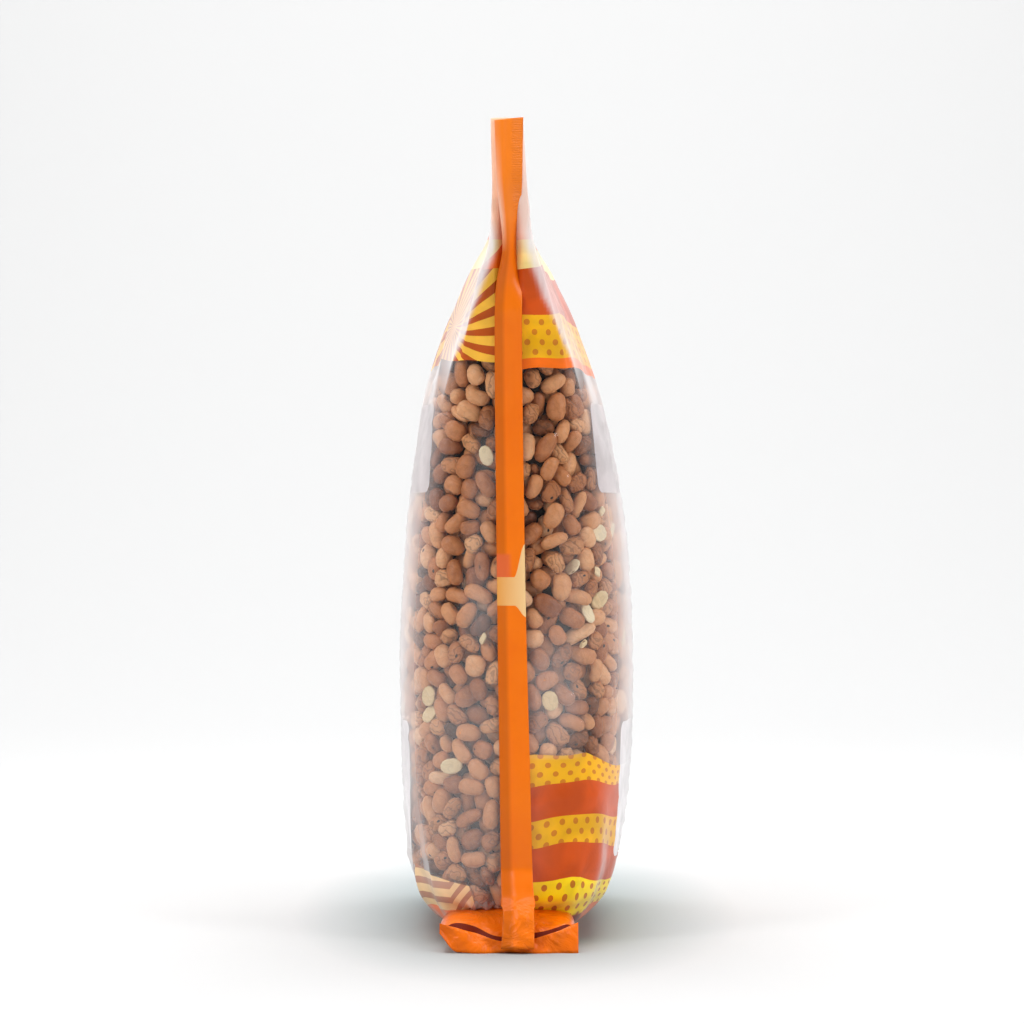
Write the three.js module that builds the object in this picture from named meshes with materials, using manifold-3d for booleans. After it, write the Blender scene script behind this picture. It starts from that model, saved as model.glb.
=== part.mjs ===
import * as THREE from 'three';
import { LoftGeometry } from 'three/addons/geometries/LoftGeometry.js';
import { mergeVertices } from 'three/addons/utils/BufferGeometryUtils.js';
import Module from 'manifold-3d';

// A clear pillow bag of dried beans that stands on its folded bottom.
// Millimetres, +Z up. The narrow side with the fin seal faces -Y, the two broad panels face -X and +X.

const wasm = await Module();
wasm.setup();

// Driving sizes of the bag
const bagHeight = 290;
const bagThickness = 88;
const flatWidth = 218;
const neckHeight = 246;
const widestHeight = 98;
const crimpHeight = 18;
const footHeight = 13;
const finWidth = 10;
const filmSheet = 1.2;
const finStandOff = 1.6;

// The fin stands off the near end, so the film lies half of that behind the middle of the box
const filmCentreY = finStandOff / 2;
const crimpStart = bagHeight - crimpHeight;

// How finely the bag is stepped
const ringPoints = 76;
const bodySteps = 54;
const finSteps = 44;

// A smooth curve through a few [height, value] points that never swings past them
function smoothCurve(points) {
  const rise = (i) => (points[i + 1][1] - points[i][1]) / (points[i + 1][0] - points[i][0]);
  const slopes = points.map((point, i) => {
    if (i === 0) return rise(0);
    if (i === points.length - 1) return rise(i - 1);
    const product = rise(i - 1) * rise(i);
    return product > 0 ? 2 * product / (rise(i - 1) + rise(i)) : 0;
  });
  return (height) => {
    const inside = THREE.MathUtils.clamp(height, points[0][0], points[points.length - 1][0]);
    let i = 0;
    while (i < points.length - 2 && inside > points[i + 1][0]) i += 1;
    const span = points[i + 1][0] - points[i][0];
    const s = (inside - points[i][0]) / span;
    const keepStart = (1 + 2 * s) * (1 - s) ** 2;
    const keepEnd = s ** 2 * (3 - 2 * s);
    const pull = span * (slopes[i] * s * (1 - s) ** 2 - slopes[i + 1] * s ** 2 * (1 - s));
    return points[i][1] * keepStart + points[i + 1][1] * keepEnd + pull;
  };
}

// Half of the thickness, from the flat foot over the widest place to the flat crimped top
const halfThickness = smoothCurve([
  [0, 21],
  [4, 24],
  [8, 28.8],
  [footHeight + 2, 34.6],
  [30, 40],
  [60, 43.1],
  [widestHeight, bagThickness / 2],
  [143, 42],
  [189, 35.2],
  [219, 25.4],
  [241, 14.6],
  [250, 9.2],
  [262, 4.5],
  [crimpStart, filmSheet / 2],
  [bagHeight, filmSheet / 2],
]);

// The film keeps its length round the bag, so what it gains in thickness it loses in width
const fillLoss = smoothCurve([
  [0, 21],
  [8, 19.5],
  [footHeight, 16],
  [16, 10],
  [20, 7],
  [30, 3],
  [60, 0.4],
  [bagHeight, 0],
]);

function halfWidth(height) {
  return flatWidth / 2 - halfThickness(height) / 2 - fillLoss(height);
}

// How far the middle of the bag leans towards +X
const lean = smoothCurve([
  [0, -2],
  [20, -1.2],
  [widestHeight, 0],
  [158, -0.4],
  [234, -2.2],
  [neckHeight, -2],
  [bagHeight, -3.5],
]);

// Superellipse power of the section: 2 is an ellipse, more is boxier
const squareness = smoothCurve([
  [0, 4],
  [footHeight, 3.4],
  [60, 2.9],
  [143, 2.9],
  [189, 3.1],
  [222, 3.3],
  [neckHeight, 2.6],
  [bagHeight, 2],
]);

// Half thickness of the film lips on each side of the fin, at the near end only
const lipThickness = smoothCurve([
  [200, 0],
  [neckHeight - 10, 8.4],
  [neckHeight, 7],
  [bagHeight, 5.6],
]);

// Depth of the tuck between the lips, into which the fin folds at the neck
const tuckDepth = smoothCurve([
  [neckHeight - 22, 0],
  [neckHeight, 7],
  [neckHeight + 20, 0],
]);

// Long folds that run down from the neck and up from the foot and fade out in between
const shoulderFold = smoothCurve([
  [170, 0],
  [225, 1.3],
  [neckHeight, 0.9],
  [crimpStart, 0],
]);
const footFold = smoothCurve([
  [2, 0],
  [16, 1.1],
  [60, 0],
]);

function foldDepth(height, turn) {
  const shoulder = Math.sin(9 * turn + 0.04 * height) + 0.6 * Math.sin(14 * turn + 2);
  const foot = Math.sin(11 * turn + 1) + 0.7 * Math.sin(17 * turn + 0.05 * height);
  return shoulderFold(height) * shoulder + footFold(height) * foot;
}

// One level section of the bag, with its points crowded at the near end
function bodyRing(height) {
  const lipRadius = 3;
  const lipFade = 14;
  const tuckSpread = 3.5;
  const crowding = 0.72;
  const a = halfThickness(height);
  const b = halfWidth(height);
  const power = 2 / squareness(height);
  const ring = [];
  for (let i = 0; i < ringPoints; i += 1) {
    const even = i / ringPoints * Math.PI * 2;
    const turn = even - crowding * Math.sin(even);
    const side = Math.sign(Math.sin(turn));
    const along = Math.cos(turn);
    const y = -b * Math.sign(along) * Math.abs(along) ** power;
    const fromNearEnd = y + b;
    const roundIn = Math.sqrt(1 - (1 - Math.min(fromNearEnd / lipRadius, 1)) ** 2);
    const lip = lipThickness(height) * roundIn * Math.exp(-Math.max(fromNearEnd - lipRadius, 0) / lipFade);
    const panel = a * Math.abs(Math.sin(turn)) ** power;
    const swell = 1 + foldDepth(height, turn) / (a + 12);
    const x = side * Math.hypot(panel * swell, lip);
    const nearness = Math.exp(-fromNearEnd / 10);
    const tuck = tuckDepth(height) * Math.exp(-((x / tuckSpread) ** 2)) * nearness;
    ring.push(new THREE.Vector3(lean(height) + x, filmCentreY + y + tuck, height));
  }
  return ring;
}

// Closer level steps at the foot and at the neck, where the shape changes fastest
function bodyHeights() {
  const heights = [0, 1.5, 3, 5, 7.5, 10, footHeight, 15, 17, 20];
  const upper = bodySteps - heights.length;
  for (let i = 1; i <= upper; i += 1) {
    const even = i / upper;
    const eased = even + 0.1 * Math.sin(2 * Math.PI * even);
    heights.push(20 + (bagHeight - 20) * eased);
  }
  return heights;
}

function solidFromRings(rings) {
  return new LoftGeometry(rings, { capStart: true, capEnd: true });
}

// Where the fin seal runs: its middle in X, its distance from the film in Y, its width and its twist
const finCentreX = smoothCurve([
  [0, 0.2],
  [12, 0.6],
  [25, 0],
  [67, -0.8],
  [105, -1.6],
  [158, -2.4],
  [220, -3],
  [neckHeight, -2.4],
  [bagHeight, -2.8],
]);
const finHalfWidth = smoothCurve([
  [0, 5.8],
  [20, 5.7],
  [60, 5.4],
  [130, finWidth / 2],
  [236, 4.7],
  [neckHeight, 4],
  [bagHeight, 4.6],
]);
const finTwist = smoothCurve([
  [neckHeight - 20, 0],
  [neckHeight, 1],
  [neckHeight + 26, 0],
]);
const finTuck = smoothCurve([
  [neckHeight - 22, 0],
  [neckHeight, 3.6],
  [neckHeight + 20, 0],
]);
const finFrontAtFoot = -95;

function finFrontY(height) {
  const bridgeStart = 28;
  const nearEnd = filmCentreY - halfWidth(height) - finStandOff / 2;
  if (height > bridgeStart) return nearEnd + finTuck(height);
  const startY = filmCentreY - halfWidth(bridgeStart) - finStandOff / 2;
  return THREE.MathUtils.lerp(finFrontAtFoot, startY, (height / bridgeStart) ** 1.5);
}

function finRing(height) {
  const half = finHalfWidth(height);
  const depth = finStandOff / 2 + 0.1;
  const twist = finTwist(height);
  const cutSlope = height > bagHeight - 1 ? 0.1 : 0;
  const corners = [[-half, depth], [-half, -depth], [0, -depth], [half, -depth], [half, depth], [0, depth]];
  return corners.map(([across, out]) => new THREE.Vector3(
    finCentreX(height) + across * Math.cos(twist) - out * Math.sin(twist),
    finFrontY(height) + across * Math.sin(twist) + out * Math.cos(twist),
    height + cutSlope * (across - half),
  ));
}

function finHeights() {
  const start = 0.5;
  return Array.from({ length: finSteps + 1 }, (_, i) => start + (bagHeight - start) * i / finSteps);
}

// A crumpled ear of film at one end of the foot: a web on the ground that turns up into a flap
const earLeft = -27;
const earRight = 21.5;
const earMiddle = 1;
const earRootY = 70;
const earFrontY = 92;
const earWeb = 2.6;

const earTop = smoothCurve([
  [earLeft, 13.2],
  [-15, 9.4],
  [earMiddle, 5],
  [14, 9],
  [earRight, 12],
]);
const earBottom = smoothCurve([
  [earLeft, 6.8],
  [earLeft + 6, 0.4],
  [-10, 0],
  [earRight, 0],
]);

function earRing(x, end) {
  const top = earTop(x);
  const bottom = earBottom(x);
  const webTop = Math.max(earWeb, bottom + 0.4);
  const spread = 0.25 * top;
  const inward = earFrontY - filmSheet;
  const outline = [
    [earRootY, bottom],
    [earFrontY, bottom],
    [earFrontY + spread, top],
    [earFrontY + spread - filmSheet, top],
    [inward, webTop],
    [earRootY, webTop],
  ];
  return outline.map(([out, z]) => new THREE.Vector3(x, end * out, z));
}

function earSolid(end) {
  const steps = 16;
  const stations = Array.from({ length: steps + 1 }, (_, i) => earLeft + (earRight - earLeft) * i / steps);
  const ordered = end > 0 ? stations : stations.reverse();
  return solidFromRings(ordered.map((x) => earRing(x, end)));
}

// Solid geometry in and out of the boolean kernel
function toManifold(loft) {
  const plain = new THREE.BufferGeometry();
  plain.setAttribute('position', loft.getAttribute('position'));
  plain.setIndex(loft.getIndex());
  const welded = mergeVertices(plain, 1e-4);
  return new wasm.Manifold(new wasm.Mesh({
    numProp: 3,
    vertProperties: new Float32Array(welded.attributes.position.array),
    triVerts: new Uint32Array(welded.index.array),
  }));
}

function toGeometry(manifold) {
  const mesh = manifold.getMesh();
  const geometry = new THREE.BufferGeometry();
  geometry.setAttribute('position', new THREE.BufferAttribute(mesh.vertProperties, 3));
  geometry.setIndex(new THREE.BufferAttribute(mesh.triVerts, 1));
  geometry.computeVertexNormals();
  return geometry;
}

// The bag, its fin seal and both ears are one piece of film, so they are one solid
function beanBag() {
  const pieces = [
    solidFromRings(bodyHeights().map(bodyRing)),
    solidFromRings(finHeights().map(finRing)),
    earSolid(-1),
    earSolid(1),
  ];
  const whole = pieces.map(toManifold).reduce((sum, piece) => sum.add(piece));
  const geometry = toGeometry(whole);
  geometry.computeBoundingBox();
  const middle = geometry.boundingBox.getCenter(new THREE.Vector3());
  geometry.translate(-middle.x, -middle.y, -geometry.boundingBox.min.z);
  const film = new THREE.MeshStandardMaterial({ color: 0xb08058, roughness: 0.35, metalness: 0 });
  const mesh = new THREE.Mesh(geometry, film);
  mesh.name = 'bean_bag';
  return mesh;
}

const group = new THREE.Group();
group.add(beanBag());

export default group;
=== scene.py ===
import math
import bpy
import numpy as np
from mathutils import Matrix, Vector


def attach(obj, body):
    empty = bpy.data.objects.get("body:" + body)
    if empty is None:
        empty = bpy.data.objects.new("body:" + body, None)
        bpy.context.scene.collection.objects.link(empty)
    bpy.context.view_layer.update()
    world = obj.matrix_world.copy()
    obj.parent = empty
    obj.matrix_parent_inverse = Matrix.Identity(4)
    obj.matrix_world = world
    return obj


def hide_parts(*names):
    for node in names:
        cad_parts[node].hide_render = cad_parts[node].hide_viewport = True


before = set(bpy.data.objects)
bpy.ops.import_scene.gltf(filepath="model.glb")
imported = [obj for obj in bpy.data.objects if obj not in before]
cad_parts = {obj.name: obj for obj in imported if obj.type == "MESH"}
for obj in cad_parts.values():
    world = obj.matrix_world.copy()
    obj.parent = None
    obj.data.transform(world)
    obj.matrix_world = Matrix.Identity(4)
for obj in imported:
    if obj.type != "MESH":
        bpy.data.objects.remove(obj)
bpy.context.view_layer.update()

# The studio: a pale floor, an even pale room and soft boxes, seen by a level camera at half the height
# of the bag. Its narrow side faces the camera, a little left of its middle, as in the photo.
MM = 0.001
CAMERA_PLACE_MM = (-1.7, -1200.0, 153.9)
CAMERA_LENS_MM = 111.3
SENSOR_MM = 36.0


def linear(hex_colour):
    """Turns an sRGB hex colour into linear red, green and blue."""
    channels = [int(hex_colour[i:i + 2], 16) / 255 for i in (0, 2, 4)]
    return tuple(c / 12.92 if c <= 0.04045 else ((c + 0.055) / 1.055) ** 2.4 for c in channels)


def opaque(hex_colour):
    return (*linear(hex_colour), 1.0)


def add_node(tree, kind, feeds=(), **settings):
    """Adds one node with its settings. An input gets a value, a socket or the first output of a node."""
    node = tree.nodes.new(kind if "Node" in kind else "ShaderNode" + kind)
    for name, value in settings.items():
        setattr(node, name, value)
    for key, source in feeds.items() if isinstance(feeds, dict) else enumerate(feeds):
        if isinstance(source, bpy.types.Node):
            source = next(output for output in source.outputs if output.enabled)
        if isinstance(source, bpy.types.NodeSocket):
            tree.links.new(source, node.inputs[key])
        else:
            node.inputs[key].default_value = source
    return node


def new_material(name):
    """A material with an empty tree; the caller adds its shader and links it to the output."""
    material = bpy.data.materials.new(name)
    material.use_nodes = True
    material.node_tree.nodes.clear()
    return material, material.node_tree


def finish_material(tree, surface):
    add_node(tree, "OutputMaterial", {"Surface": surface})


camera_data = bpy.data.cameras.new("camera")
camera_data.lens = CAMERA_LENS_MM
camera_data.sensor_width = SENSOR_MM
camera_data.clip_end = 20.0
camera = bpy.data.objects.new("camera", camera_data)
camera.location = [v * MM for v in CAMERA_PLACE_MM]
camera.rotation_euler = (math.pi / 2, 0.0, 0.0)
bpy.context.scene.collection.objects.link(camera)
bpy.context.scene.camera = camera
bpy.context.scene.view_settings.view_transform = "Standard"

# The floor runs back and sweeps up into the backdrop. Round the foot its paint is greyer, an oval painted
# shadow. All sizes here are metres.
SWEEP_START, SWEEP_RADIUS, SWEEP_HEIGHT, SWEEP_STEPS, FLOOR_HALF_WIDTH = 0.9, 1.6, 3.0, 24, 3.0
POOL_MIDDLE = (0.0, 0.04, 0.0)
POOL_HALF_SIZES = (0.085, 0.215, 1.0)
POOL_EDGE = (0.42, 1.02)
sweep = [(-3.0, 0.0), (-1.0, 0.0), (0.0, 0.0), (SWEEP_START, 0.0)]
for i in range(1, SWEEP_STEPS + 1):
    angle = i / SWEEP_STEPS * math.pi / 2
    sweep.append((SWEEP_START + SWEEP_RADIUS * math.sin(angle), SWEEP_RADIUS * (1 - math.cos(angle))))
sweep.append((SWEEP_START + SWEEP_RADIUS, SWEEP_HEIGHT))
floor_mesh = bpy.data.meshes.new("floor")
floor_mesh.from_pydata(
    [(x, y, z) for y, z in sweep for x in (-FLOOR_HALF_WIDTH, FLOOR_HALF_WIDTH)],
    [],
    [(2 * i, 2 * i + 1, 2 * i + 3, 2 * i + 2) for i in range(len(sweep) - 1)],
)
floor_mesh.polygons.foreach_set("use_smooth", [True] * len(floor_mesh.polygons))
floor = bpy.data.objects.new("floor", floor_mesh)
bpy.context.scene.collection.objects.link(floor)
floor_paint, tree = new_material("matte white studio floor, painted shadow round the foot")
on_floor = add_node(tree, "TexCoord").outputs["Object"]
from_foot = add_node(tree, "VectorMath", [on_floor, POOL_MIDDLE], operation="SUBTRACT")
in_pool = add_node(tree, "VectorMath", [from_foot, POOL_HALF_SIZES], operation="DIVIDE")
pool_distance = add_node(tree, "VectorMath", [in_pool], operation="LENGTH")
out_of_pool = add_node(tree, "MapRange", [pool_distance, *POOL_EDGE])
# Painted shadow: the floor paint turns grey towards the foot and fades out into the plain floor.
floor_tone_with_painted_shadow = add_node(
    tree, "Mix", {0: out_of_pool, 6: opaque("8C9798"), 7: opaque("B4B4B4")}, data_type="RGBA"
)
floor_shader = add_node(tree, "BsdfPrincipled", {"Roughness": 0.8, "Base Color": floor_tone_with_painted_shadow})
finish_material(tree, floor_shader)
floor_mesh.materials.append(floor_paint)

# The room gives even, pale light from all round, brighter towards the backdrop
world = bpy.data.worlds.new("pale room")
world.use_nodes = True
bpy.context.scene.world = world
tree = world.node_tree
tree.nodes.clear()
direction = add_node(tree, "TexCoord").outputs["Generated"]
facing = add_node(tree, "SeparateXYZ", [direction]).outputs["Y"]
room_light = add_node(
    tree, "MapRange", {"From Min": -1.0, "From Max": 0.3, "To Min": 0.32, "To Max": 0.8, "Value": facing}
)
backdrop = add_node(tree, "Background", {"Color": opaque("F8F9FA"), "Strength": room_light})
add_node(tree, "OutputWorld", {"Surface": backdrop})


def add_soft_box(name, place, aim, size, power):
    light_data = bpy.data.lights.new(name, "AREA")
    light_data.shape = "RECTANGLE"
    light_data.size, light_data.size_y = size
    light_data.energy = power
    light = bpy.data.objects.new(name, light_data)
    light.location = place
    light.rotation_euler = (Vector(aim) - Vector(place)).to_track_quat("-Z", "Y").to_euler()
    bpy.context.scene.collection.objects.link(light)


add_soft_box("left soft box", (-1.0, -0.9, 0.9), (0, 0, 0.12), (0.4, 0.8), 8.8)
add_soft_box("right soft box", (1.1, -0.8, 0.8), (0, 0, 0.14), (0.35, 0.8), 8.0)
add_soft_box("top soft box", (0.0, 0.1, 1.4), (0, 0, 0.1), (1.2, 0.9), 20)
add_soft_box("backdrop soft box", (0.0, 1.0, 2.6), (0, 2.4, 0.9), (2.4, 0.8), 85)

# The bag's form: a tube of film, flat at its crimped top and blunt at its folded foot, swelled by the
# beans. Level sections are boxed ellipses whose half thickness, width and lean change with height, as in
# the solid. All sizes from here on are millimetres, with each curve as (height, value) points.
BAG_HEIGHT = 290.0
BAG_THICKNESS = 88.0
FLAT_WIDTH = 218.0
NECK_HEIGHT = 246.0
WIDEST_HEIGHT = 98.0
FOOT_HEIGHT = 13.0
FIN_STAND_OFF = 1.6
FILM_SHEET = 1.2
CRIMP_START = 272.0
FILM_CENTRE_Y = FIN_STAND_OFF / 2
GRID_STEP = 1.3


def smooth_curve(*points):
    """A curve through (height, value) points that never swings past them."""
    heights = np.array([p[0] for p in points], float)
    values = np.array([p[1] for p in points], float)
    rise = np.diff(values) / np.diff(heights)
    slopes = np.concatenate([[rise[0]], np.zeros(len(points) - 2), [rise[-1]]])
    for i in range(1, len(points) - 1):
        if rise[i - 1] * rise[i] > 0:
            slopes[i] = 2 * rise[i - 1] * rise[i] / (rise[i - 1] + rise[i])

    def at(height):
        inside = np.clip(height, heights[0], heights[-1])
        i = np.clip(np.searchsorted(heights, inside) - 1, 0, len(heights) - 2)
        span = heights[i + 1] - heights[i]
        s = (inside - heights[i]) / span
        keep_start = (1 + 2 * s) * (1 - s) ** 2
        keep_end = s ** 2 * (3 - 2 * s)
        pull = span * (slopes[i] * s * (1 - s) ** 2 - slopes[i + 1] * s ** 2 * (1 - s))
        return values[i] * keep_start + values[i + 1] * keep_end + pull

    return at


half_thickness = smooth_curve(
    (0, 21), (4, 24), (8, 28.8), (FOOT_HEIGHT + 2, 34.6), (30, 40), (60, 43.1),
    (WIDEST_HEIGHT, BAG_THICKNESS / 2), (143, 42), (189, 35.2), (219, 25.4), (241, 14.6), (250, 9.2),
    (262, 4.5), (CRIMP_START, FILM_SHEET / 2), (BAG_HEIGHT, FILM_SHEET / 2),
)
fill_loss = smooth_curve(
    (0, 21), (8, 19.5), (FOOT_HEIGHT, 16), (16, 10), (20, 7), (30, 3), (60, 0.4), (BAG_HEIGHT, 0)
)
lean = smooth_curve(
    (0, -2), (20, -1.2), (WIDEST_HEIGHT, 0), (158, -0.4), (234, -2.2), (NECK_HEIGHT, -2),
    (BAG_HEIGHT, -3.5),
)
squareness = smooth_curve(
    (0, 4), (FOOT_HEIGHT, 3.4), (60, 2.9), (143, 2.9), (189, 3.1), (222, 3.3), (NECK_HEIGHT, 2.6),
    (BAG_HEIGHT, 2),
)
lip_thickness = smooth_curve((200, 0), (NECK_HEIGHT - 10, 8.4), (NECK_HEIGHT, 7), (BAG_HEIGHT, 5.6))
tuck_depth = smooth_curve((NECK_HEIGHT - 22, 0), (NECK_HEIGHT, 7), (NECK_HEIGHT + 20, 0))
shoulder_fold = smooth_curve((170, 0), (225, 1.3), (NECK_HEIGHT, 0.9), (CRIMP_START, 0))
foot_fold = smooth_curve((2, 0), (16, 1.1), (60, 0))


def half_width(height):
    return FLAT_WIDTH / 2 - half_thickness(height) / 2 - fill_loss(height)


def film_ring(height, turn):
    """Points of the level section at one height; turn runs round from the near end by way of +X."""
    lip_radius, lip_fade, tuck_spread = 3.0, 14.0, 3.5
    a, b = half_thickness(height), half_width(height)
    power = 2 / squareness(height)
    along = np.cos(turn)
    y = -b * np.sign(along) * np.abs(along) ** power
    from_near_end = y + b
    round_in = np.sqrt(1 - (1 - np.minimum(from_near_end / lip_radius, 1)) ** 2)
    lip = lip_thickness(height) * round_in * np.exp(-np.maximum(from_near_end - lip_radius, 0) / lip_fade)
    panel = a * np.abs(np.sin(turn)) ** power
    shoulder = np.sin(9 * turn + 0.04 * height) + 0.6 * np.sin(14 * turn + 2)
    foot = np.sin(11 * turn + 1) + 0.7 * np.sin(17 * turn + 0.05 * height)
    fold = shoulder_fold(height) * shoulder + foot_fold(height) * foot
    x = np.sign(np.sin(turn)) * np.hypot(panel * (1 + fold / (a + 12)), lip)
    tuck = tuck_depth(height) * np.exp(-((x / tuck_spread) ** 2)) * np.exp(-from_near_end / 10)
    return np.stack([lean(height) + x, FILM_CENTRE_Y + y + tuck, np.full_like(x, height)], -1)


def even_ring(height, count):
    """The same section with its points evenly spaced along the film, the first one at the near end."""
    turn = np.linspace(0, 2 * math.pi, 2400)
    crowded = turn - 0.6 * np.sin(turn)
    fine = film_ring(height, crowded)
    length = np.concatenate([[0], np.cumsum(np.linalg.norm(np.diff(fine, axis=0), axis=1))])
    wanted = np.arange(count) / count * length[-1]
    return np.stack([np.interp(wanted, length, fine[:, k]) for k in range(3)], -1)


rows = int(BAG_HEIGHT / GRID_STEP) + 1
columns = 2 * round(FLAT_WIDTH / GRID_STEP)
film_heights = np.linspace(0, BAG_HEIGHT, rows)
film_base = np.stack([even_ring(height, columns) for height in film_heights])


def grid_normals(grid):
    """Outward normals of a grid of points that closes on itself round the bag."""
    around = np.roll(grid, -1, 1) - np.roll(grid, 1, 1)
    up = np.gradient(grid, axis=0)
    normals = np.cross(around, up)
    return normals / np.maximum(np.linalg.norm(normals, axis=2, keepdims=True), 1e-9)


film_normals = grid_normals(film_base)

# Beans: dry cowpeas, tan to pinkish brown, mostly 8 to 11 mm long, some blunt, shrivelled, holed, peeled
# or split. They lie about two deep behind the film, in a seeded heap that a fixed number of steps pushes
# apart and into the bag. It isn't a full settling: about a tenth still overlap a neighbour by over 1 mm.
BEAN_COUNT = 4250
BEAN_HALF_SIZES = (4.75, 3.45, 2.7)
CORE_DEPTH = 10.5
LOWEST_BEAN = 8.0
HIGHEST_BEAN = 243.0
FILM_GAP = 0.5
OUTER_SHARE = 0.53
LAYER_STEP = 5.2
LOOSE_SHARE = 0.22
rng = np.random.default_rng(23)


def rotation_from(normal, spin, tilt_axis, tilt):
    """Rotation matrices that lay a bean's short axis along the normal, spun about it and then tilted."""
    count = len(normal)
    helper = np.where(np.abs(normal[:, 2:3]) < 0.9, [[0.0, 0.0, 1.0]], [[1.0, 0.0, 0.0]])
    side = np.cross(helper, normal)
    side /= np.linalg.norm(side, axis=1, keepdims=True)
    other = np.cross(normal, side)
    long_axis = side * np.cos(spin)[:, None] + other * np.sin(spin)[:, None]
    mid_axis = np.cross(normal, long_axis)
    frame_axes = np.stack([long_axis, mid_axis, normal], 2)
    axis = tilt_axis / np.linalg.norm(tilt_axis, axis=1, keepdims=True)
    skew = np.zeros((count, 3, 3))
    skew[:, 0, 1], skew[:, 0, 2], skew[:, 1, 2] = -axis[:, 2], axis[:, 1], -axis[:, 0]
    skew[:, 1, 0], skew[:, 2, 0], skew[:, 2, 1] = axis[:, 2], -axis[:, 1], axis[:, 0]
    tilt = tilt[:, None, None]
    turn = np.eye(3) + np.sin(tilt) * skew + (1 - np.cos(tilt)) * (skew @ skew)
    return turn @ frame_axes


# Where the beans start: even over the film's area, in two layers
first_row = int(np.searchsorted(film_heights, LOWEST_BEAN))
last_row = int(np.searchsorted(film_heights, HIGHEST_BEAN))
start_row = rng.integers(first_row, last_row, BEAN_COUNT)
start_column = rng.integers(0, columns, BEAN_COUNT)
outer = rng.random(BEAN_COUNT) < OUTER_SHARE
place = film_base[start_row, start_column]
outward = film_normals[start_row, start_column]

KIND_NAMES = ("plain", "slim", "blunt", "shrivelled", "peeled", "split", "chip")
KIND_SHARES = (0.29, 0.19, 0.225, 0.265, 0.008, 0.014, 0.008)
KIND_SCALES = (
    (1, 1, 1), (1.08, 0.88, 0.96), (0.94, 0.98, 1.02), (0.98, 0.96, 0.92), (0.9, 0.92, 0.95),
    (0.8, 0.84, 0.6), (0.5, 0.42, 0.36),
)
kind = rng.choice(len(KIND_NAMES), BEAN_COUNT, p=KIND_SHARES)
half_sizes = np.array(BEAN_HALF_SIZES) * np.array(KIND_SCALES)[kind]
half_sizes = half_sizes * np.exp(rng.normal(0, [0.1, 0.075, 0.09], (BEAN_COUNT, 3)))
loose = rng.random(BEAN_COUNT) < LOOSE_SHARE
tilt = np.where(loose, rng.uniform(0.5, 1.57, BEAN_COUNT), np.abs(rng.normal(0, 0.34, BEAN_COUNT)))
turned = rotation_from(
    outward, rng.uniform(0, 2 * math.pi, BEAN_COUNT), rng.normal(size=(BEAN_COUNT, 3)), tilt
)
spread = turned @ (half_sizes[:, :, None] ** 2 * np.swapaxes(turned, 1, 2))


def reach(direction):
    """How far each bean reaches from its middle along its own direction."""
    return np.sqrt(np.einsum("ni,nij,nj->n", direction, spread, direction))


depth = np.where(outer, reach(outward) + FILM_GAP, reach(outward) + FILM_GAP + LAYER_STEP)
place = place - outward * depth[:, None]
row, column = start_row.copy(), start_column.copy()
near_steps = [(dr, dc) for dr in (-1, 0, 1) for dc in (-1, 0, 1)]


def find_near_pairs(points, limit):
    """All pairs of points closer than the limit, found block by block."""
    firsts, seconds = [], []
    block = 500
    for start in range(0, len(points), block):
        apart = points[start:start + block, None, :] - points[None, :, :]
        close = np.einsum("ijk,ijk->ij", apart, apart) < limit ** 2
        i, j = np.nonzero(close)
        keep = i + start < j
        firsts.append(i[keep] + start)
        seconds.append(j[keep])
    return np.concatenate(firsts), np.concatenate(seconds)


def keep_inside(points):
    """Moves beans that reach past the bag's level section back into it, and keeps them off the ground."""
    reach_x, reach_y, reach_z = [np.sqrt(spread[:, k, k]) for k in range(3)]
    x, y, z = points.T.copy()
    z = np.clip(z, reach_z + 0.6, HIGHEST_BEAN)
    z = np.where(half_thickness(z) < reach_x + 1.2, z - 0.6, z)
    thinnest = np.minimum(half_thickness(z), half_thickness(z + 0.6 * reach_z))
    a = np.maximum(thinnest - reach_x - FILM_GAP, 0.4)
    b = half_width(z) - reach_y - FILM_GAP
    power = squareness(z)
    off_x, off_y = x - lean(z), y - FILM_CENTRE_Y
    fullness = (np.abs(off_x) / a) ** power + (np.abs(off_y) / b) ** power
    shrink = np.where(fullness > 1, np.maximum(fullness, 1e-9) ** (-1 / power), 1)
    return np.stack([lean(z) + off_x * shrink, FILM_CENTRE_Y + off_y * shrink, z], 1)


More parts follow.
